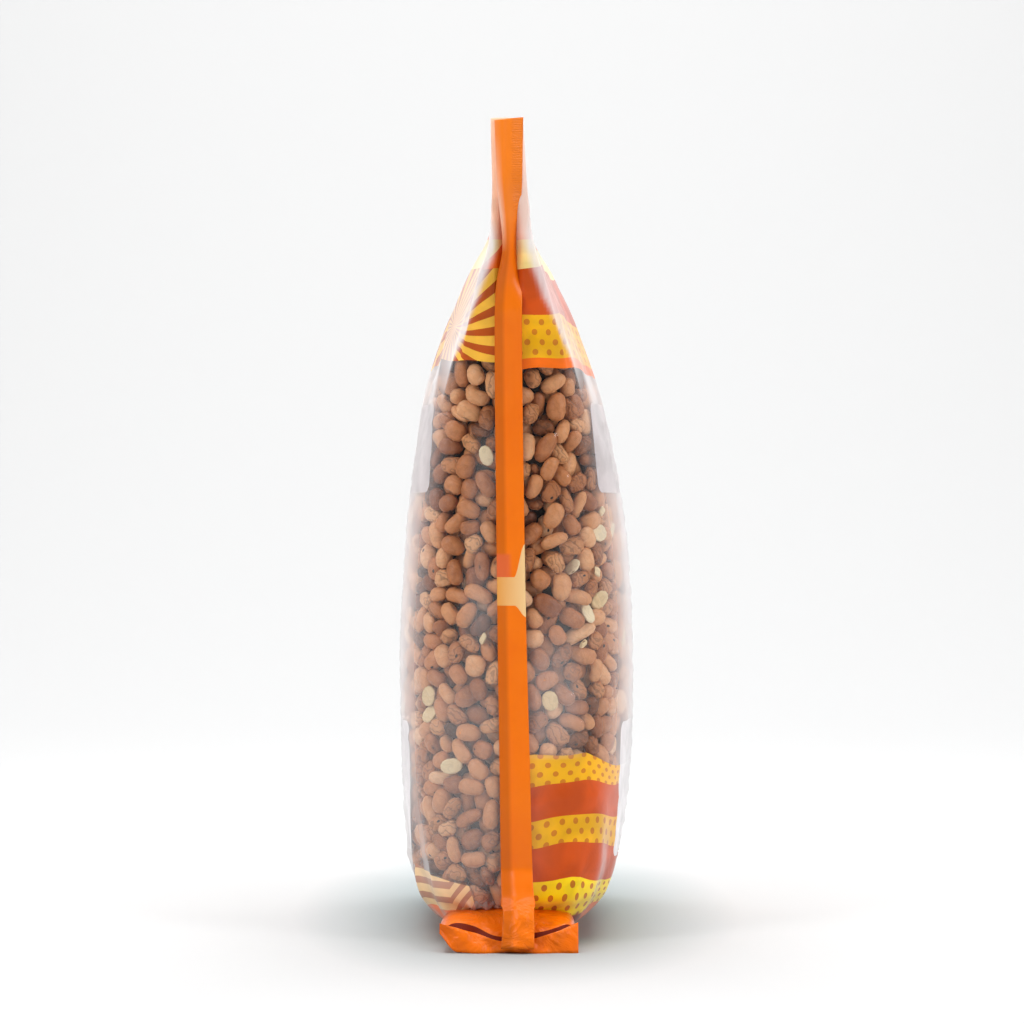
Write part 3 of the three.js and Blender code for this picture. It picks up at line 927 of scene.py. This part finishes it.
# A corner of orange beside the fin, above the rays
beside = add_node(tree, "Math", [s_place, z_place], operation="SUBTRACT")
beside_rays = add_node(tree, "Math", [beside, -252.0], operation="GREATER_THAN")
shoulder = add_node(
    tree, "Mix", {0: beside_rays, 6: minus_bands.outputs["Color"], 7: opaque(PRINT_ORANGE)},
    data_type="RGBA"
)
minus_print = add_node(tree, "Mix", {0: ray_zone, 6: shoulder, 7: rays}, data_type="RGBA")
fan_edge = add_node(tree, "Math", [s_place, -0.154, 19.0], operation="MULTIPLY_ADD")
fan_side = add_node(tree, "Math", [s_place, -3.0, -28.0], operation="MULTIPLY_ADD")
fan_corner = add_node(tree, "Math", [fan_edge, fan_side], operation="MINIMUM")
fan_end = add_node(tree, "Math", [s_place, 3.0, 180.0], operation="MULTIPLY_ADD")
fan_top = add_node(tree, "Math", [fan_corner, fan_end], operation="MINIMUM")
in_fan = add_node(tree, "Math", [z_place, fan_top], operation="LESS_THAN")
minus_mask = add_node(tree, "Math", [minus_bands.outputs["Alpha"], in_fan], operation="MAXIMUM")

# Each side has its own print; both have two plain rounded badges
on_plus_side = add_node(tree, "Math", [s_place, 0.0], operation="GREATER_THAN")
side_print = add_node(tree, "Mix", {0: on_plus_side, 6: minus_print, 7: plus_print}, data_type="RGBA")
side_mask = add_node(tree, "Mix", {0: on_plus_side, 2: minus_mask, 3: plus_mask}, data_type="FLOAT")
badge_shift = add_node(tree, "Math", [on_plus_side, 3.0, -3.0], operation="MULTIPLY_ADD")
badge_round = add_node(tree, "Math", [s_away, badge_shift], operation="ADD")
badge_place = add_node(tree, "CombineXYZ", [badge_round, z_place])
BADGES = (((58.5, 177.0, 0.0), (22.0, 16.0, 0.0)), ((84.0, 53.5, 0.0), (31.0, 24.5, 0.0)))
BADGE_ROUNDING = 3.5
BADGE_COVER = 0.9
badge_mask = None
for middle, half in BADGES:
    inner = tuple(max(h - BADGE_ROUNDING, 0) for h in half)
    offset = add_node(tree, "VectorMath", [badge_place, middle], operation="SUBTRACT")
    unsigned = add_node(tree, "VectorMath", [offset], operation="ABSOLUTE")
    beyond = add_node(tree, "VectorMath", [unsigned, inner], operation="SUBTRACT")
    outside = add_node(tree, "VectorMath", [beyond, (0, 0, 0)], operation="MAXIMUM")
    edge = add_node(tree, "VectorMath", [outside], operation="LENGTH")
    in_badge = add_node(tree, "Math", [edge, BADGE_ROUNDING], operation="LESS_THAN")
    if badge_mask is None:
        badge_mask = in_badge
    else:
        badge_mask = add_node(tree, "Math", [badge_mask, in_badge], operation="MAXIMUM")
badge_tone = add_node(
    tree, "Mix", {0: is_high, 6: opaque(BADGE_WHITE), 7: opaque(BADGE_GREY)}, data_type="RGBA"
)
with_badge = add_node(tree, "Mix", {0: badge_mask, 6: side_print, 7: badge_tone}, data_type="RGBA")
badge_cover = add_node(tree, "Math", [badge_mask, BADGE_COVER], operation="MULTIPLY")
with_badge_mask = add_node(tree, "Math", [side_mask, badge_cover], operation="MAXIMUM")

# The film lips beside the fin in the header are painted a pale peach, painted backlight where light
# shines through the clear film, and the paint lets a little light through
LIP_WIDTH = 17.0
LIP_START = 248.5
beside_fin = add_node(tree, "Math", [s_away, LIP_WIDTH], operation="LESS_THAN")
above_neck = add_node(tree, "Math", [z_place, LIP_START], operation="GREATER_THAN")
on_lip = add_node(tree, "Math", [beside_fin, above_neck], operation="MULTIPLY")
off_lip = add_node(tree, "Math", [on_lip, -0.1, 1.0], operation="MULTIPLY_ADD")
print_mask = add_node(tree, "Math", [with_badge_mask, off_lip], operation="MULTIPLY")

# Film optics: the print is a glossy inked layer with painted light and shade over the lumps of the heap,
# and the rest lets light through. Both turn milky where the film is hazy, and white at glancing angles,
# partly the film's own milkiness and partly painted sheen.
GLANCE_SHEEN_POWER = 3.3
SHEEN_LOST_ON_PRINT = 0.68
MOST_MILK_AND_SHEEN = 0.93
MIRROR_POWER = 5.0
taut_normal = add_node(tree, "Attribute", attribute_name="taut_normal").outputs["Vector"]
taut_facing = add_node(tree, "LayerWeight", {"Blend": 0.5, "Normal": taut_normal}).outputs["Facing"]
glance = add_node(tree, "Math", [taut_facing, GLANCE_SHEEN_POWER], operation="POWER")
less_sheen = add_node(tree, "Math", [print_mask, on_lip], operation="MAXIMUM")
over_clear = add_node(tree, "Math", [less_sheen, -SHEEN_LOST_ON_PRINT, 1.0], operation="MULTIPLY_ADD")
haze_and_painted_light_value = add_node(tree, "Attribute", attribute_name="haze_and_painted_light").outputs["Fac"]
# Painted sheen: white that grows at glancing angles, standing in for the film's reflection.
glancing_painted_sheen = add_node(tree, "Math", [glance, over_clear], operation="MULTIPLY")
milk_and_painted_sheen = add_node(tree, "Math", [glancing_painted_sheen, haze_and_painted_light_value], operation="MAXIMUM")
milk_and_sheen_share = add_node(tree, "Math", [milk_and_painted_sheen, MOST_MILK_AND_SHEEN], operation="MINIMUM")
edge_on = add_node(tree, "Math", [taut_facing, MIRROR_POWER], operation="POWER")
face_on = add_node(tree, "Math", [print_mask, -0.008, 0.02], operation="MULTIPLY_ADD")
mirror = add_node(tree, "Math", [edge_on, 0.5, face_on], operation="MULTIPLY_ADD")
in_bag = add_node(tree, "TexCoord").outputs["Object"]
crinkle = add_node(tree, "TexNoise", {"Scale": 260.0, "Detail": 3.0, "Distortion": 1.2, "Vector": in_bag})
ripple = add_node(tree, "Bump", {"Strength": 0.35, "Distance": 0.35 * MM, "Height": crinkle})
see_through = add_node(tree, "BsdfTransparent", {"Color": opaque("FCFBFB")})
crease_shade_value = add_node(tree, "Attribute", attribute_name="crease").outputs["Fac"]
# Painted backlight: the lips are painted pale peach in place of light shining through them.
lip_painted_backlight = add_node(tree, "Mix", {0: on_lip, 6: with_badge, 7: opaque("FFB88C")}, data_type="RGBA")
# Painted shade in the crease behind each ear.
with_crease_shade = add_node(tree, "Mix", {0: crease_shade_value, 6: lip_painted_backlight, 7: opaque("701A02")}, data_type="RGBA")
# Painted light and shade: the ink is lighter and darker over the lumps of beans behind it.
lump_noise = add_node(tree, "TexNoise", {"Scale": 62.0, "Detail": 3.0, "Distortion": 0.8, "Vector": in_bag})
painted_lump_light = add_node(tree, "MapRange", [lump_noise, 0.38, 0.64, 0.9, 1.16])
ink_with_painted_lump_light = add_node(tree, "HueSaturation", {"Value": painted_lump_light, "Color": with_crease_shade})
ink = add_node(
    tree, "BsdfPrincipled",
    {"Roughness": 0.45, "Specular IOR Level": 0.1, "Base Color": ink_with_painted_lump_light, "Normal": ripple}
)
inked = add_node(tree, "MixShader", [print_mask, see_through, ink])
milk_and_sheen_white = add_node(tree, "BsdfDiffuse", {"Color": opaque("F2ECEC")})
veiled = add_node(tree, "MixShader", [milk_and_sheen_share, inked, milk_and_sheen_white])
gloss = add_node(tree, "BsdfGlossy", {"Roughness": 0.1, "Normal": ripple})
shined = add_node(tree, "MixShader", [mirror, veiled, gloss])
finish_material(tree, shined)
film.data.materials.append(film_look)
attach(film, "root")
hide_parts("bean_bag")


def orange_film_look(name, shades, on_fin):
    """Opaque orange film, glossy and creased. The fin has a darker left part, partly painted shade of its
    fold line and partly a double layer, a painted highlight on its folded edge in the header, crimp ribs
    and a cream patch.
    """
    material, tree = new_material(name)
    in_bag = add_node(tree, "TexCoord").outputs["Object"]
    uneven = add_node(tree, "TexNoise", {"Scale": 60.0, "Detail": 3.0, "Vector": in_bag})
    orange = add_node(
        tree, "Mix", {0: uneven, 6: opaque(shades[0]), 7: opaque(shades[1])}, data_type="RGBA"
    )
    crease = add_node(tree, "TexNoise", {"Scale": 320.0, "Detail": 2.0, "Vector": in_bag})
    height = add_node(tree, "SeparateXYZ", [in_bag]).outputs["Z"]
    low_down = add_node(tree, "MapRange", [height, 0.022, 0.012])
    crumple = add_node(
        tree, "TexNoise", {"Scale": 95.0, "Detail": 4.0, "Distortion": 1.5, "Vector": in_bag}
    )
    crumple_depth = add_node(tree, "Math", [crumple, low_down], operation="MULTIPLY")
    crumpled = add_node(tree, "Bump", {"Strength": 0.8, "Distance": 2.4 * MM, "Height": crumple_depth})
    ripple = add_node(
        tree, "Bump", {"Strength": 0.3, "Distance": 0.3 * MM, "Height": crease, "Normal": crumpled}
    )
    if on_fin:
        on_strip = add_node(tree, "UVMap", uv_map="fin_place")
        parts = add_node(tree, "SeparateXYZ", [on_strip])
        across, up = parts.outputs["X"], parts.outputs["Y"]
        # Painted shade: the strip is darker left of its fold line, partly because the film lies double
        # there.
        edge_shade = add_node(tree, "ValToRGB", {"Fac": across})
        for stop, start, grey in zip(edge_shade.color_ramp.elements, (0.26, 0.4), ("DEDEDE", "FFFFFF")):
            stop.position = start
            stop.color = opaque(grey)
        orange = add_node(
            tree, "Mix", {0: 1.0, 6: orange, 7: edge_shade}, data_type="RGBA", blend_type="MULTIPLY"
        )
        rise = add_node(tree, "MapRange", [across, 0.6, 1.0], interpolation_type="SMOOTHSTEP")
        patch_top = add_node(tree, "Math", [rise, 11.5, 131.0], operation="MULTIPLY_ADD")
        patch_foot = add_node(tree, "Math", [rise, -4.0, 121.0], operation="MULTIPLY_ADD")
        under = add_node(tree, "Math", [up, patch_top], operation="LESS_THAN")
        over = add_node(tree, "Math", [up, patch_foot], operation="GREATER_THAN")
        patch = add_node(tree, "Math", [under, over], operation="MULTIPLY")
        cream = add_node(
            tree, "Mix", {0: across, 6: opaque("E29A48"), 7: opaque("EFC68C")}, data_type="RGBA"
        )
        orange = add_node(tree, "Mix", {0: patch, 6: orange, 7: cream}, data_type="RGBA")
        above_patch = add_node(tree, "MapRange", [up, 139.6, 138.6, 0.0, 0.8])
        left_half = add_node(tree, "MapRange", [across, 0.56, 0.4])
        not_under = add_node(tree, "Math", [1.0, under], operation="SUBTRACT")
        near_patch = add_node(tree, "Math", [above_patch, left_half], operation="MULTIPLY")
        rosy = add_node(tree, "Math", [near_patch, not_under], operation="MULTIPLY")
        orange = add_node(tree, "Mix", {0: rosy, 6: orange, 7: opaque("DD6338")}, data_type="RGBA")
        # Painted highlight: in the header the strip's folded left edge is painted pale.
        edge_highlight_share = add_node(tree, "MapRange", [across, 0.24, 0.0, 0.0, 0.8])
        above_neck = add_node(tree, "MapRange", [up, 244.0, 256.0])
        below_top = add_node(tree, "MapRange", [up, 284.0, 262.0, 0.15, 1.0])
        in_header = add_node(tree, "Math", [above_neck, below_top], operation="MULTIPLY")
        orange = add_node(tree, "Mix", {0: above_neck, 6: orange, 7: opaque("F48020")}, data_type="RGBA")
        painted_fold_highlight = add_node(tree, "Math", [edge_highlight_share, in_header], operation="MULTIPLY")
        orange = add_node(tree, "Mix", {0: painted_fold_highlight, 6: orange, 7: opaque("F4C4AC")}, data_type="RGBA")
        rib_wave = add_node(tree, "Math", [up, 2 * math.pi / 0.6], operation="MULTIPLY")
        ribs = add_node(tree, "Math", [rib_wave], operation="SINE")
        ribbed_up = add_node(tree, "MapRange", [up, 252.0, 262.0])
        ribbed_side = add_node(tree, "MapRange", [across, 0.55, 0.65])
        ribbed = add_node(tree, "Math", [ribbed_up, ribbed_side], operation="MULTIPLY")
        rib_height = add_node(tree, "Math", [ribs, ribbed], operation="MULTIPLY")
        ripple = add_node(
            tree, "Bump", {"Strength": 0.6, "Distance": 0.15 * MM, "Height": rib_height, "Normal": ripple}
        )
    shader = add_node(
        tree, "BsdfPrincipled",
        {"Roughness": 0.3, "Specular IOR Level": 0.22, "Base Color": orange, "Normal": ripple}
    )
    finish_material(tree, shader)
    return material


# The fin seal: both edges of the film welded face to face and laid flat as one opaque orange strip. It
# runs from the crimped top, turns on edge at the neck, and ends folded over the foot.
fin_centre = smooth_curve(
    (0, 0.2), (12, 0.6), (25, 0), (67, -0.8), (105, -1.6), (158, -2.4), (220, -3), (NECK_HEIGHT, -2.4),
    (BAG_HEIGHT, -2.8),
)
fin_half_width = smooth_curve(
    (0, 5.8), (15, 5.5), (16.5, 6.1), (19, 5.7), (60, 5.4), (130, 5), (236, 4.7), (NECK_HEIGHT, 4),
    (BAG_HEIGHT, 5.0),
)
fin_twist = smooth_curve((NECK_HEIGHT - 20, 0), (NECK_HEIGHT, 1), (NECK_HEIGHT + 26, 0))
fin_tuck = smooth_curve((NECK_HEIGHT - 22, 0), (NECK_HEIGHT, 3.6), (NECK_HEIGHT + 20, 0))
FIN_FRONT_AT_FOOT = -97.6
FIN_FOOT = 1.8
BRIDGE_START = 28.0
fin_heights = np.linspace(FIN_FOOT, BAG_HEIGHT, 260)
fin_across = np.linspace(-1, 1, 25)


def fin_front(height):
    near_end = FILM_CENTRE_Y - half_width(height) - FIN_STAND_OFF / 2
    start = FILM_CENTRE_Y - half_width(BRIDGE_START) - FIN_STAND_OFF / 2
    bridge = FIN_FRONT_AT_FOOT + (start - FIN_FRONT_AT_FOOT) * (height / BRIDGE_START) ** 1.5
    return np.where(height > BRIDGE_START, near_end + fin_tuck(height), bridge)


def fin_section(height):
    """A flat strip with a fold line down its left part and thin edges, folded over at the foot."""
    half = fin_half_width(height)
    fold = -0.32 + 0.14 * math.sin(height / 23) + 0.06 * math.sin(height / 7.3)
    lift = 0.4 / (1 + np.exp(-(fin_across - fold) * 13)) - 0.3 * fin_across ** 2
    lift += 0.12 * np.sin(fin_across * 5 + height / 13) * math.sin(height / 17)
    over_foot = 1 / (1 + math.exp(min((height - 16.4) * 3.2, 60)))
    pinch = math.exp(-(((height - 19.5) / 2.6) ** 2))
    crumple = 0.25 * np.sin(fin_across * 4 + height) * math.exp(-height / 14)
    front = -0.35 - lift - 0.9 * over_foot + 0.7 * pinch - crumple
    back = np.full_like(front, 0.55) + 0.7 * pinch
    across = np.concatenate([fin_across, fin_across[::-1]]) * half
    out = np.concatenate([front, back])
    twist = float(fin_twist(height))
    cut = 0.1 * (across - half) if height > BAG_HEIGHT - 1 else 0 * across
    return np.stack([
        fin_centre(height) + across * math.cos(twist) - out * math.sin(twist),
        fin_front(height) + across * math.sin(twist) + out * math.cos(twist),
        height + cut,
    ], 1)


fin_walls, fin_ends = tube_faces(len(fin_heights), 2 * len(fin_across))
fin_points = np.concatenate([fin_section(h) for h in fin_heights])
fin = new_object("fin_seal", fin_points, fin_walls + fin_ends)
fin_row, fin_column = np.divmod(corner_vertices(fin), 2 * len(fin_across))
strip_across = np.concatenate([fin_across, fin_across[::-1]])[fin_column] * 0.5 + 0.5
add_place_map(fin, "fin_place", strip_across, fin_heights[fin_row])
fin.data.materials.append(orange_film_look("orange fin seal, glossy film", ("E96802", "F57A04"), True))
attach(fin, "root")

# The ears: the ends of the folded foot, of the same orange film. Each lies on the ground, turns up as a
# crumpled flap that leans back, and has a deep crease behind its top edge, painted dark as shade.
ear_bottom = smooth_curve((EAR_LEFT, 6.8), (EAR_LEFT + 6, 0.4), (-10, 0), (EAR_RIGHT, 0))
ear_stations = np.linspace(EAR_LEFT, EAR_RIGHT, 90)
EAR_ROOT = 66
EAR_FRONT = 96.8
EAR_WEB = 2.2
RISE_TOP = 13.4
RISE_POINTS = ((89.0, 0.25), (86.0, 0.55), (82.5, 0.8), (78.0, 0.95), (66.0, 1.0))
LEAN_BACK = 0.3
FLAP_ROWS = 9
CREASE = 3 + FLAP_ROWS


def ear_section(x, end):
    """A turned-up flap with a thin top edge, a deep crease behind it and film that rises to the bag."""
    top, bottom = float(ear_top(x)), float(ear_bottom(x))
    across = (2 * x - EAR_LEFT - EAR_RIGHT) / (EAR_RIGHT - EAR_LEFT)
    full = 1 - across ** 8
    web = max(EAR_WEB, bottom + 0.4)
    rise_top = RISE_TOP - 2.0 * across ** 2
    front = EAR_FRONT - 1.4 * across ** 2
    outline = [(EAR_ROOT, bottom), (80, bottom), (92, bottom)]
    for i in range(FLAP_ROWS):
        up = i / (FLAP_ROWS - 1)
        z = bottom + (top - bottom) * up
        crumple = 0.6 * math.sin(x / 3.1 + 3 * up) + 1.1 * abs(math.sin(x / 5.3 + 1.9 * up + 0.8)) - 0.5
        crumple += 0.35 * math.sin(x / 1.3 - 4 * up)
        mouth = 1.6 * math.exp(-(((x - EAR_MIDDLE + 3) / 7) ** 4)) * max(0, 1 - 5 * up)
        outline.append((front - LEAN_BACK * (z - bottom) + (0.4 + 0.6 * up) * crumple - mouth, z))
    edge = outline[-1][0]
    floor_of_crease = web + max(top - 2.0 - web, 0) * full
    gape = 1.5 + 0.5 * math.sin(x / 3.1 + 1)
    crease_top = floor_of_crease + max(top + gape - floor_of_crease, 0) * full
    pucker = 0.5 * math.sin(x / 2.3) + 0.3 * math.sin(x / 1.3 + 2)
    outline += [(edge - 0.8, top - 0.1), (edge - 2.4, floor_of_crease), (edge - 3.2, crease_top)]
    for out, share in RISE_POINTS:
        z = crease_top + max(rise_top - crease_top, 0) * full * share
        outline.append((min(out + pucker * (1 - share), edge - 4.0), z))
    return np.array([(x, end * out, z) for out, z in outline])


ear_film = orange_film_look("orange foot film, glossy", ("E46000", "F07404"), False)
# The inside of the fold gets hardly any light: its faces are painted deep red brown as painted shade and
# read as a dark line
fold_painted_shade, tree = new_material("inside of the foot fold, painted shade, deep red brown")
fold_shader = add_node(
    tree, "BsdfPrincipled", {"Base Color": opaque("6A1A02"), "Roughness": 0.5, "Specular IOR Level": 0.1}
)
finish_material(tree, fold_shader)
for end, name in ((-1, "near_ear"), (1, "far_ear")):
    sections = [ear_section(x, end) for x in ear_stations]
    ring_count = len(sections[0])
    ear_walls, ear_ends = tube_faces(len(sections), ring_count)
    faces = ear_walls + ear_ends
    if end > 0:
        faces = [face[::-1] for face in faces]
    ear = new_object(name, np.concatenate(sections), faces)
    ear.data.materials.append(ear_film)
    ear.data.materials.append(fold_painted_shade)
    # The faces in the crease get the painted shade.
    inside = [i < len(ear_walls) and i % ring_count in (CREASE, CREASE + 1) for i in range(len(faces))]
    ear.data.polygons.foreach_set("material_index", [int(v) for v in inside])
    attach(ear, "root")
